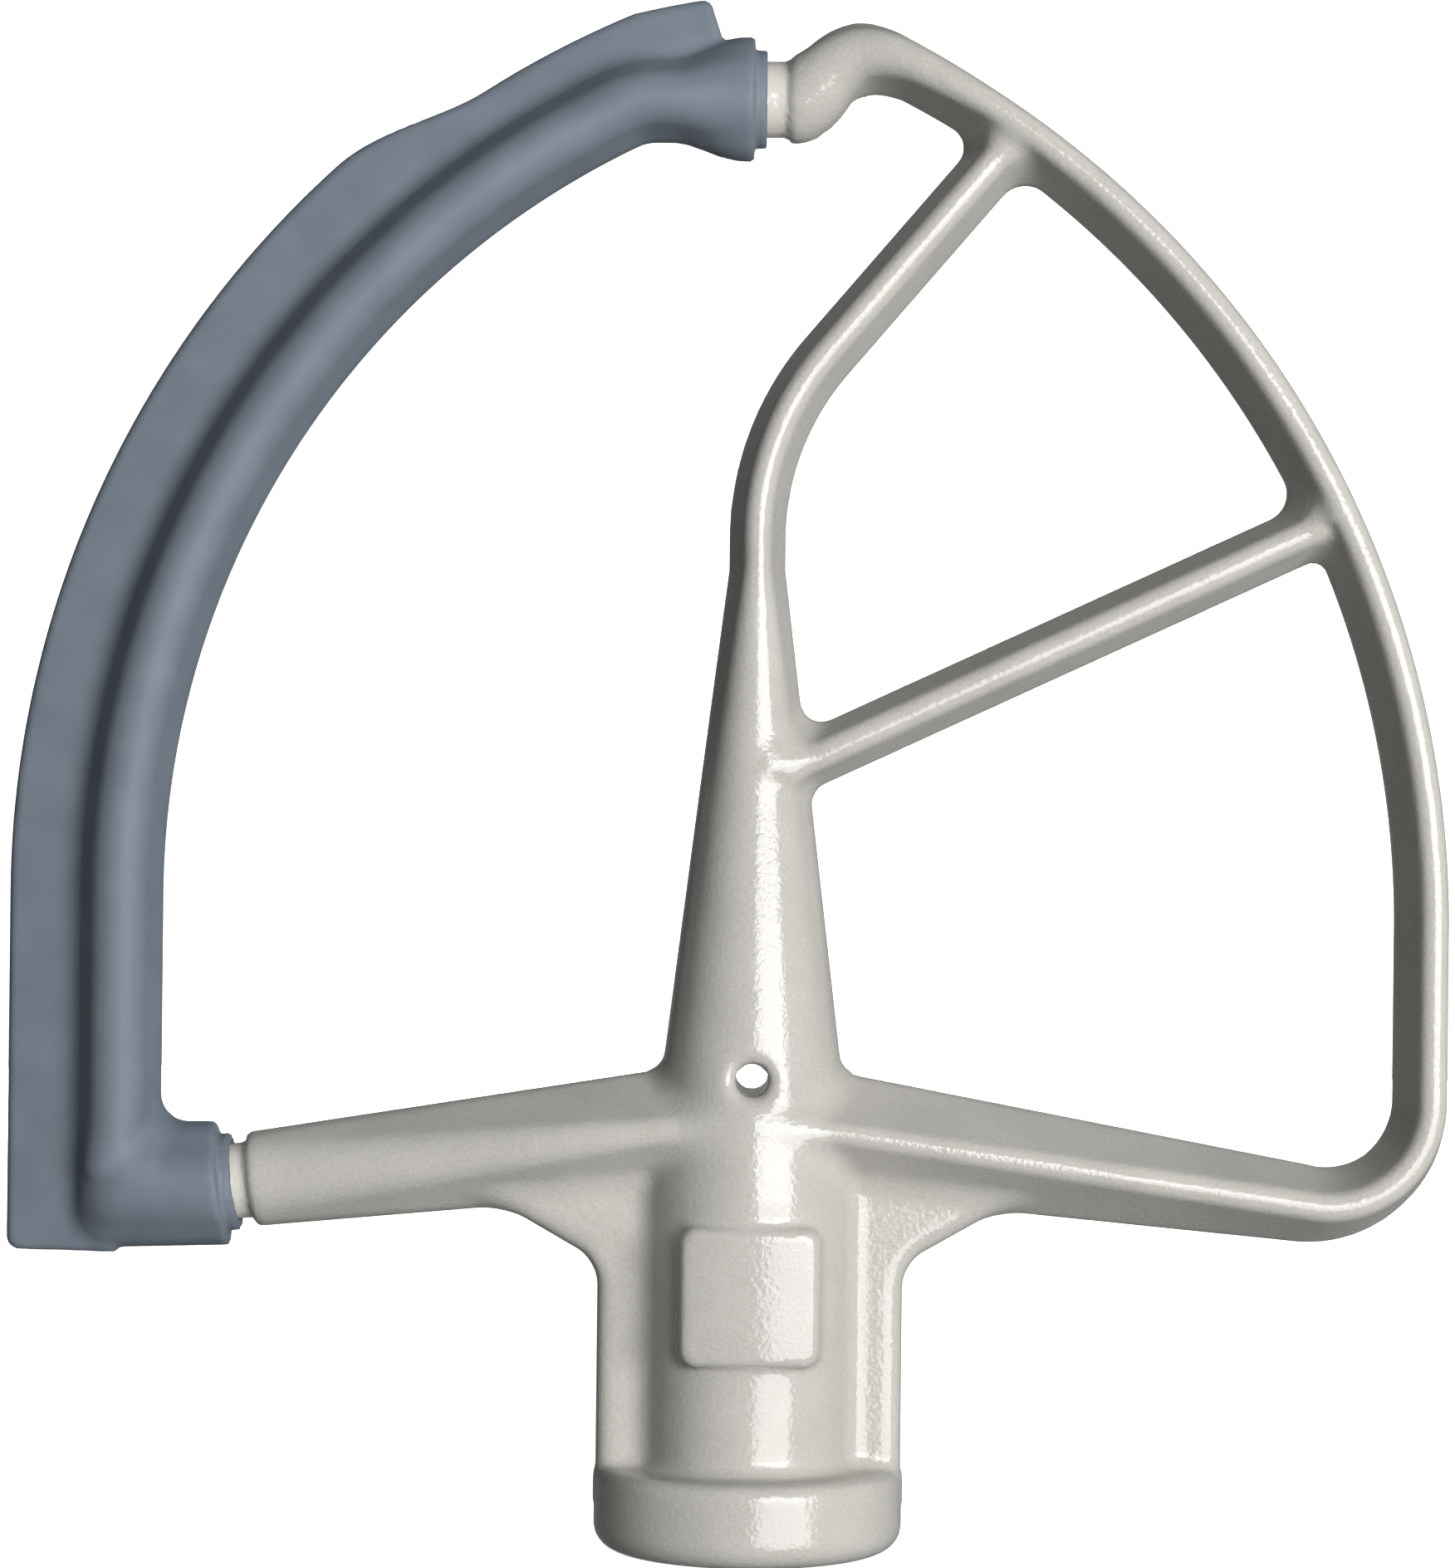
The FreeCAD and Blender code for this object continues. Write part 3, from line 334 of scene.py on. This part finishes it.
def collar(x, y, z):
    """Collar at the drive end: a disc with a full round below and a small one above."""
    side = trim(np.hypot(x, y) - COLLAR_RADIUS, -z, COLLAR_ROUND)
    return trim(side, z - COLLAR_HEIGHT, COLLAR_EDGE)


def plate(x, y, z):
    """Bare raised plate: a square with round corners, drafted sides and a slightly crowned front."""
    front = np.hypot(x, y + PLATE_FRONT - PLATE_CROWN) - PLATE_CROWN
    grown = PLATE_HALF + PLATE_DRAFT * (y + PLATE_FRONT)
    across, up = np.abs(x) - grown + PLATE_CORNER, np.abs(z - PLATE_CENTRE) - grown + PLATE_CORNER
    outline = np.hypot(np.maximum(across, 0), np.maximum(up, 0)) + np.minimum(np.maximum(across, up), 0)
    return trim(np.maximum(outline - PLATE_CORNER, y), front, PLATE_ROUND)


def socket(x, y, z):
    """Blind bore with a conical end, the slot that lets the cross pin in and the pocket that it turns into."""
    radius = np.hypot(x, y)
    bore = np.maximum(radius - BORE_RADIUS, (z - BORE_DEPTH + radius / 2) * BORE_CONE)
    slot = np.maximum(np.maximum(np.abs(y) - SLOT_HALF, -x), np.maximum(radius - SLOT_REACH, z - SLOT_DEPTH))
    turn = math.radians(TURN_ANGLE)
    sector = np.maximum(-y, y * math.cos(turn) - x * math.sin(turn))
    level = np.abs(z - SLOT_DEPTH + TURN_HEIGHT / 2) - TURN_HEIGHT / 2
    pocket = np.maximum(np.maximum(radius - SLOT_REACH, sector), level)
    return np.minimum(bore, np.minimum(slot, pocket))


def core_bar(x, y, z):
    """The bar inside the silicone: a flat section carried along its centre line, round at both necks."""
    line = core_line()
    total = line[2][-1]
    neck = rounded_section(NECK_WIDTH)
    first, last = 2 * NECK_LENGTH, total - 2 * NECK_LENGTH
    stations = [(0.0, neck), (first, neck), (first + CORE_STEP, CORE),
                (last - CORE_STEP, CORE), (last, neck), (total, neck)]
    return member(line, stations, x, y, z)


def casting(x, y, z):
    """The whole frame: hub, spine and spoke, arms, rim and rib melted together, then bored and pierced."""
    barrel = rounded_section(2 * BARREL_RADIUS)
    spine = member(spine_line(), [(0.0, barrel), (SPINE_FOOT, barrel), (SPINE_MIDDLE, SPINE_OVAL),
                                  (SPINE_NECK, BAR)], x, y, z)
    solid = melt(np.maximum(spine, COLLAR_HEIGHT / 2 - z), hub_plate(x, y, z), HUB_FILLET)
    flush = np.clip((np.abs(x) - FLUSH_START) / FLUSH_RUN, 0.0, 1.0)
    solid = melt(solid, collar(x, y, z), COLLAR_FILLET - COLLAR_FLUSH * flush)
    right = member(*right_side(), x, y, z)
    beyond = np.where(z > GOOSE_LEVEL, BULB_END - x, -FAR)
    fillet = np.where(z > SPOKE_LEVEL, SPOKE_FILLET, ARM_FILLET)
    solid = melt(solid, trim(right, beyond, BULB_ROUND), fillet)
    left_line = chain(straight((0.0, ARM_HEIGHT), on_left_arm(LEFT_REACH)))
    left = member(left_line, [(0.0, ARM_ROOT), (ARM_START, LEFT_ARM),
                              (LEFT_REACH, rounded_section(LEFT_TIP))], x, y, z)
    past_end = past_on_left_arm(LEFT_REACH, x, z)[0]
    solid = melt(solid, trim(left, past_end, LEFT_ROUND), ARM_FILLET)
    rib_start = heading_point(RIB_FOOT, RIB_ANGLE, RIB_ROOT)
    rib_end = heading_point(RIB_FOOT, RIB_ANGLE, RIM_INSIDE)
    rib_line = chain(straight(rib_start, rib_end))
    below = np.clip(locate(rib_line, x, z)[0] / RIB_HALF, -1.0, 1.0)
    solid = melt(solid, member(rib_line, [(0.0, RIB), (FAR, RIB)], x, y, z), RIB_FILLET - RIB_SKEW * below)
    solid = melt(solid, core_bar(x, y, z), NECK_FILLET)
    solid = melt(solid, plate(x, y, z), PLATE_FILLET)
    solid = carve(solid, socket(x, y, z), SOCKET_ROUND)
    return carve(solid, np.hypot(x, z - HOLE_HEIGHT + HOLE_FALL * y) - HOLE_RADIUS, HOLE_ROUND)


# Silicone edge

def blade(x, y, z):
    """Blade round the outside of the tube: it thins towards its edge, a circle that steps down near the tip."""
    centre_x = TUBE_X + TUBE_RADIUS
    full = TUBE_RADIUS + BLADE_REACH
    angle = np.degrees(np.arctan2(np.maximum(z - TUBE_CENTRE_Z, 0.0), x - centre_x))
    share = np.clip((STEP_START - angle) / (STEP_START - STEP_END), 0.0, 1.0)
    reach = full - BLADE_STEP * share ** 2 * (3.0 - 2.0 * share)
    tip_angle = math.degrees(math.atan2(TIP_Z - TUBE_CENTRE_Z, TIP_X - centre_x))
    tip_reach = math.hypot(TIP_Z - TUBE_CENTRE_Z, TIP_X - centre_x)
    lowered = np.maximum((TIP_TURN - angle) / (TIP_TURN - tip_angle), 0.0)
    reach = reach - lowered * (full - BLADE_STEP - tip_reach)
    radius = np.where(z < TUBE_CENTRE_Z, centre_x - x, np.hypot(x - centre_x, z - TUBE_CENTRE_Z))
    outline = trim(radius - reach, BLADE_BOTTOM - z, BLADE_CORNER)
    end = (x - TIP_X - (TIP_Z - z) * TIP_SLOPE) / math.hypot(1.0, TIP_SLOPE)
    outline = trim(outline, end, TIP_CORNER)
    inside = np.where(z < TUBE_CENTRE_Z, x - TUBE_X, TUBE_RADIUS - radius - BLADE_SINK)
    thick = BLADE_EDGE + (BLADE_ROOT - BLADE_EDGE) * np.clip((full - radius) / BLADE_TAPER, 0.0, 1.0)
    return trim(np.maximum(outline, inside), np.abs(y) - thick, BLADE_ROUND)


def silicone(x, y, z):
    """The whole edge: boot, tube, flared lip, blade and stepped rings melted together, less the core bar."""
    low = on_left_arm(LIP_LOW)
    beyond_lip, aside = past_on_left_arm(LIP_LOW, x, z)
    boot_line = chain(straight((low[0] + BOOT_INSET, low[1]), (BOOT_END, BOOT_LEVEL)))
    boot = member(boot_line, [(0.0, BOOT), (BOOT_INSET, BOOT), (BOOT_SWELL, BOOT_FOOT)], x, y, z)
    flank = math.radians(TUBE_FLANK)
    side = (TUBE_X - TUBE[0] / 2 + TUBE[3] - x) * math.cos(flank) + np.abs(y) * math.sin(flank) - TUBE[3]
    boot = trim(boot, side, BOOT_CORNER)
    top = tube_top()
    line = chain(straight((TUBE_X, TUBE_START), top[0][0]), *top,
                 straight(top[1][-1], (LIP_HIGH + LIP_SPARE, NECK_HEIGHT)))
    end = line[2][-1] - LIP_SPARE
    flare = [(end - FLARE_LENGTH * (1.0 - along), between(TUBE, LIP, wide)) for along, wide in FLARE]
    tube = member(line, [(0.0, (*TUBE[:4], 0.0)), (TUBE_LEAN_RUN, TUBE), *flare], x, y, z)
    tube = trim(tube, x - LIP_HIGH, LIP_ROUND)
    inside = np.clip((x - TUBE_X) / CROTCH_RUN, 0.0, 1.0)
    solid = melt(trim(boot, -beyond_lip, LIP_ROUND), tube, CROTCH_LEFT + CROTCH_FILLET * inside)
    fade = np.clip((x - FADE_START) / FADE_RUN, 0.0, 1.0)
    solid = melt(solid, blade(x, y, z), BLADE_FILLET - BLADE_FADE * fade)
    low_ring = np.maximum(np.hypot(aside, y) - RING_RADIUS, np.abs(beyond_lip) - RING_LENGTH)
    high_ring = np.maximum(np.hypot(z - NECK_HEIGHT, y) - RING_RADIUS, np.abs(x - LIP_HIGH) - RING_LENGTH)
    solid = melt(solid, np.minimum(low_ring, high_ring), RING_FILLET)
    return np.maximum(solid, -core_bar(x, y, z))


# Meshes

def read_surface(field, low, high, cell):
    """Points and quads where the field is zero: read from a grid, then moved along their normals onto it."""
    axes = [np.arange(a, b + cell, cell) for a, b in zip(low, high)]
    x, y, z = axes[0][:, None, None], axes[1][None, :, None], axes[2][None, None, :]
    values = np.broadcast_to(field(x, y, z), [len(axis) for axis in axes])
    grid = openvdb.FloatGrid(BAND)
    grid.copyFromArray(np.ascontiguousarray(np.clip(values, -BAND, BAND), dtype=np.float32))
    points, quads = grid.convertToQuads(0.0)
    points = points.astype(float) * cell + np.array(low)
    for _ in range(2):
        normals = point_normals(points, quads)
        here = field(*points.T)
        ahead = field(*(points + normals * PROBE).T)
        slope = np.clip((ahead - here) / PROBE, *SLOPES)
        points -= normals * np.clip(here / slope, -cell / 2, cell / 2)[:, None]
    return points, quads


def point_normals(points, quads):
    """Normals at the points: the sum of the cross products of the diagonals of the quads around each."""
    first, second, third, fourth = points[quads.T]
    cross = np.cross(third - first, fourth - second)
    total = np.stack([np.bincount(quads.ravel(), np.repeat(part, 4), len(points)) for part in cross.T], axis=1)
    return total / np.maximum(np.linalg.norm(total, axis=1), 1e-9)[:, None]


def bare_neck(points):
    """One on the two necks, which stay bare where the silicone was moulded against them, nought elsewhere."""
    x, y, z = points.T
    past_end, aside = past_on_left_arm(LEFT_REACH, x, z)
    low = np.minimum(past_end + BARE_INSET, BARE_RADIUS - np.hypot(aside, y))
    high = np.minimum(BULB_END - BARE_INSET - x, BARE_RADIUS - np.hypot(z - NECK_HEIGHT, y))
    return np.clip(np.maximum(low, high) / BARE_FADE, 0.0, 1.0)


def make_piece(name, points, quads, node, material, bare=None):
    """A smooth mesh piece in metres that stands for its CAD node, with what is bare on it as an attribute."""
    mesh = bpy.data.meshes.new(name)
    mesh.vertices.add(len(points))
    mesh.vertices.foreach_set("co", (points * MM).ravel())
    mesh.loops.add(quads.size)
    mesh.loops.foreach_set("vertex_index", quads.ravel().astype(np.int32))
    mesh.polygons.add(len(quads))
    mesh.polygons.foreach_set("loop_start", np.arange(0, quads.size, 4, dtype=np.int32))
    mesh.update(calc_edges=True)
    mesh.validate()
    mesh.shade_smooth()
    if bare is not None:
        mesh.attributes.new("bare", "FLOAT", "POINT").data.foreach_set("value", bare.astype(np.float32))
    piece = bpy.data.objects.new(name, mesh)
    bpy.context.scene.collection.objects.link(piece)
    mesh.materials.append(material)
    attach(piece, "root")
    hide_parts(node)


# Materials

def linear(code):
    """An sRGB hex colour as linear RGBA."""
    parts = [int(code[at:at + 2], 16) / 255 for at in (1, 3, 5)]
    return tuple(c / 12.92 if c <= 0.04045 else ((c + 0.055) / 1.055) ** 2.4 for c in parts) + (1.0,)


def add_node(tree, kind, settings=None, **links):
    """Add a node, set its properties and sockets, and link the named sockets to other nodes' outputs."""
    node = tree.nodes.new(kind)
    for name, value in (settings or {}).items():
        if name in node.inputs:
            node.inputs[name].default_value = value
        else:
            setattr(node, name, value)
    for name, output in links.items():
        tree.links.new(output, node.inputs[name.replace("_", " ")])
    return node


def new_material(name):
    """An empty node material with its output."""
    material = bpy.data.materials.new(name)
    material.use_nodes = True
    material.node_tree.nodes.clear()
    output = add_node(material.node_tree, "ShaderNodeOutputMaterial")
    return material, material.node_tree, output


def waves_per_metre(size_mm):
    """Scale of a noise whose grains are about this many millimetres apart, on coordinates in metres."""
    return 1.0 / (size_mm * MM)


def enamel_on_casting():
    """Light grey baked enamel over die-cast aluminium: satin gloss with orange peel and a faint pearl grain."""
    material, tree, output = new_material("baked_enamel_on_cast_aluminium")
    place = add_node(tree, "ShaderNodeTexCoord").outputs["Object"]
    cloud = add_node(tree, "ShaderNodeTexNoise", {"Scale": waves_per_metre(9.0), "Detail": 3.0}, Vector=place)
    # The pearl flakes are finer than 0.1 mm, too fine to show, and are drawn at 0.35 mm.
    grain = add_node(tree, "ShaderNodeTexNoise", {"Scale": waves_per_metre(0.35), "Detail": 2.0}, Vector=place)
    peel = add_node(tree, "ShaderNodeTexNoise", {"Scale": waves_per_metre(0.6), "Detail": 1.5}, Vector=place)
    tint = add_node(tree, "ShaderNodeValToRGB", Fac=cloud.outputs["Fac"])
    tint.color_ramp.elements[0].position, tint.color_ramp.elements[1].position = 0.3, 0.7
    tint.color_ramp.elements[0].color = linear("#b4b3af")
    tint.color_ramp.elements[1].color = linear("#bcbbb7")
    speck = add_node(tree, "ShaderNodeValToRGB", Fac=grain.outputs["Fac"])
    speck.color_ramp.elements[0].position, speck.color_ramp.elements[1].position = 0.35, 0.7
    speck.color_ramp.elements[0].color = linear("#f4f3f1")
    speck.color_ramp.elements[1].color = linear("#ffffff")
    colour = add_node(tree, "ShaderNodeMix", {"data_type": "RGBA", "blend_type": "MULTIPLY"})
    colour.inputs["Factor"].default_value = 1.0
    tree.links.new(tint.outputs["Color"], colour.inputs["A"])
    tree.links.new(speck.outputs["Color"], colour.inputs["B"])
    bare = add_node(tree, "ShaderNodeAttribute", {"attribute_name": "bare"})
    metal = add_node(tree, "ShaderNodeMix", {"data_type": "RGBA"})
    metal.inputs["B"].default_value = linear("#d6d3cd")
    tree.links.new(bare.outputs["Fac"], metal.inputs["Factor"])
    tree.links.new(colour.outputs["Result"], metal.inputs["A"])
    shine = add_node(tree, "ShaderNodeMapRange", {"To Max": 0.15}, Value=bare.outputs["Fac"])
    rough = add_node(tree, "ShaderNodeMapRange", {"To Min": 0.12, "To Max": 0.2}, Value=grain.outputs["Fac"])
    bump = add_node(tree, "ShaderNodeBump", {"Strength": 0.42, "Distance": 0.12 * MM},
                    Height=peel.outputs["Fac"])
    shader = add_node(tree, "ShaderNodeBsdfPrincipled", {"IOR": 1.5, "Specular IOR Level": 0.3},
                      Base_Color=metal.outputs["Result"], Metallic=shine.outputs["Result"],
                      Roughness=rough.outputs["Result"], Normal=bump.outputs["Normal"])
    tree.links.new(shader.outputs["BSDF"], output.inputs["Surface"])
    return material


def moulded_silicone():
    """Blue-grey moulded silicone rubber: matte, with a broad sheen and the fine bloom of a blasted mould."""
    material, tree, output = new_material("moulded_silicone")
    place = add_node(tree, "ShaderNodeTexCoord").outputs["Object"]
    bloom = add_node(tree, "ShaderNodeTexNoise", {"Scale": waves_per_metre(6.0), "Detail": 4.0}, Vector=place)
    # The blasted grain is about 0.1 mm across, too fine to show, and is drawn at 0.5 mm.
    dust = add_node(tree, "ShaderNodeTexNoise", {"Scale": waves_per_metre(0.5), "Detail": 2.0}, Vector=place)
    tint = add_node(tree, "ShaderNodeValToRGB", Fac=bloom.outputs["Fac"])
    tint.color_ramp.elements[0].position, tint.color_ramp.elements[1].position = 0.3, 0.72
    tint.color_ramp.elements[0].color = linear("#68727d")
    tint.color_ramp.elements[1].color = linear("#707a85")
    rough = add_node(tree, "ShaderNodeMapRange", {"To Min": 0.48, "To Max": 0.58}, Value=bloom.outputs["Fac"])
    bump = add_node(tree, "ShaderNodeBump", {"Strength": 0.15, "Distance": 0.05 * MM},
                    Height=dust.outputs["Fac"])
    shader = add_node(tree, "ShaderNodeBsdfPrincipled", {"IOR": 1.43, "Specular IOR Level": 0.26},
                      Base_Color=tint.outputs["Color"], Roughness=rough.outputs["Result"],
                      Normal=bump.outputs["Normal"])
    tree.links.new(shader.outputs["BSDF"], output.inputs["Surface"])
    return material


def seen_by_camera(tree):
    """Light path node, and a node that gives one to rays from the camera and through clear things."""
    path = add_node(tree, "ShaderNodeLightPath")
    seen = add_node(tree, "ShaderNodeMath", {"operation": "MAXIMUM"})
    tree.links.new(path.outputs["Is Camera Ray"], seen.inputs[0])
    tree.links.new(path.outputs["Is Transmission Ray"], seen.inputs[1])
    return path, seen


def white_paper(name, white):
    """Matte white studio paper: it looks white and takes shadow.

    It gives little light back and shows only faintly in a gloss."""
    material, tree, output = new_material(name)
    path, seen = seen_by_camera(tree)
    shade = add_node(tree, "ShaderNodeMapRange", {"To Min": PAPER_BOUNCE, "To Max": PAPER_FACE},
                     Value=seen.outputs["Value"])
    level = add_node(tree, "ShaderNodeMapRange", {"To Max": white}, Value=seen.outputs["Value"])
    matte = add_node(tree, "ShaderNodeBsdfDiffuse", Color=shade.outputs["Result"])
    glow = add_node(tree, "ShaderNodeEmission", {"Color": linear("#ffffff")}, Strength=level.outputs["Result"])
    faint = add_node(tree, "ShaderNodeEmission", {"Color": linear("#ffffff"), "Strength": GLOSS_WHITE})
    clear = add_node(tree, "ShaderNodeBsdfTransparent")
    sheets = []
    for first, second in ((matte, glow), (clear, faint)):
        sheet = add_node(tree, "ShaderNodeAddShader")
        tree.links.new(first.outputs[0], sheet.inputs[0])
        tree.links.new(second.outputs[0], sheet.inputs[1])
        sheets.append(sheet)
    paper = add_node(tree, "ShaderNodeMixShader", Fac=path.outputs["Is Glossy Ray"])
    tree.links.new(sheets[0].outputs["Shader"], paper.inputs[1])
    tree.links.new(sheets[1].outputs["Shader"], paper.inputs[2])
    tree.links.new(paper.outputs["Shader"], output.inputs["Surface"])
    return material


# Studio

def make_stage(name, corners, white):
    """A flat sheet of studio paper between four corners in metres."""
    mesh = bpy.data.meshes.new(name)
    mesh.from_pydata(corners, [], [(0, 1, 2, 3)])
    mesh.materials.append(white_paper(name + "_paper", white))
    sheet = bpy.data.objects.new(name, mesh)
    bpy.context.scene.collection.objects.link(sheet)


def make_softbox(name, azimuth, height, distance, size, power, glossy):
    """A soft light panel that faces the beater; azimuth is measured from the front towards the right.

    The camera doesn't see the panel, and a gloss sees it where glossy is set."""
    light = bpy.data.lights.new(name, "AREA")
    light.shape = "RECTANGLE"
    light.size, light.size_y = size
    light.energy = power
    light.color = linear(PANEL_WHITE)[:3]
    lamp = bpy.data.objects.new(name, light)
    angle = math.radians(azimuth)
    lamp.location = (distance * math.sin(angle), -distance * math.cos(angle), height)
    lamp.rotation_euler = (math.radians(90.0), 0.0, angle)
    lamp.visible_camera, lamp.visible_glossy = False, glossy
    bpy.context.scene.collection.objects.link(lamp)


def make_world():
    """Dim even surroundings that look white to the camera and through clear things, and faint in a gloss."""
    world = bpy.data.worlds.new("studio")
    bpy.context.scene.world = world
    world.use_nodes = True
    tree = world.node_tree
    tree.nodes.clear()
    path, seen = seen_by_camera(tree)
    level = add_node(tree, "ShaderNodeMapRange", {"To Min": WORLD_LIGHT, "To Max": GLOSS_WHITE},
                     Value=path.outputs["Is Glossy Ray"])
    sky = add_node(tree, "ShaderNodeBackground", {"Color": linear("#ffffff")}, Strength=level.outputs["Result"])
    white = add_node(tree, "ShaderNodeBackground", {"Color": linear("#ffffff"), "Strength": 1.0})
    both = add_node(tree, "ShaderNodeMixShader", Fac=seen.outputs["Value"])
    tree.links.new(sky.outputs["Background"], both.inputs[1])
    tree.links.new(white.outputs["Background"], both.inputs[2])
    output = add_node(tree, "ShaderNodeOutputWorld")
    tree.links.new(both.outputs["Shader"], output.inputs["Surface"])


def make_camera():
    """Camera level with the beater's middle, rolled a little so that the beater leans to the right."""
    distance, span = 0.535, 0.1888
    camera = bpy.data.cameras.new("camera")
    camera.sensor_width = 36.0
    camera.lens = camera.sensor_width * distance / span
    camera.shift_x, camera.shift_y = -0.0154, 0.0032
    camera.clip_start = 0.01
    holder = bpy.data.objects.new("camera", camera)
    holder.location = (-0.0004, -distance, 0.0912)
    holder.rotation_euler = (math.radians(90.0), math.radians(-0.62), 0.0)
    bpy.context.scene.collection.objects.link(holder)
    bpy.context.scene.camera = holder


points, quads = read_surface(casting, *FRAME_BOX, FRAME_CELL)
make_piece("casting", points, quads, "beater_frame", enamel_on_casting(), bare_neck(points))
points, quads = read_surface(silicone, *EDGE_BOX, EDGE_CELL)
make_piece("silicone_edge", points, quads, "flex_edge", moulded_silicone())

make_stage("floor", [(-3, -3, 0), (3, -3, 0), (3, 3, 0), (-3, 3, 0)], white=0.92)
make_stage("backdrop", [(-0.6, 0.92, -0.05), (0.6, 0.92, -0.05), (0.6, 0.92, 0.8), (-0.6, 0.92, 0.8)], white=1.0)
make_softbox("key_panel", azimuth=27.0, height=0.0, distance=0.95, size=(0.72, 0.7), power=27.5, glossy=True)
make_softbox("back_panel", azimuth=180.0, height=0.12, distance=0.9, size=(0.4, 0.5), power=15.0, glossy=False)
make_world()
make_camera()
bpy.context.scene.view_settings.view_transform = "Standard"
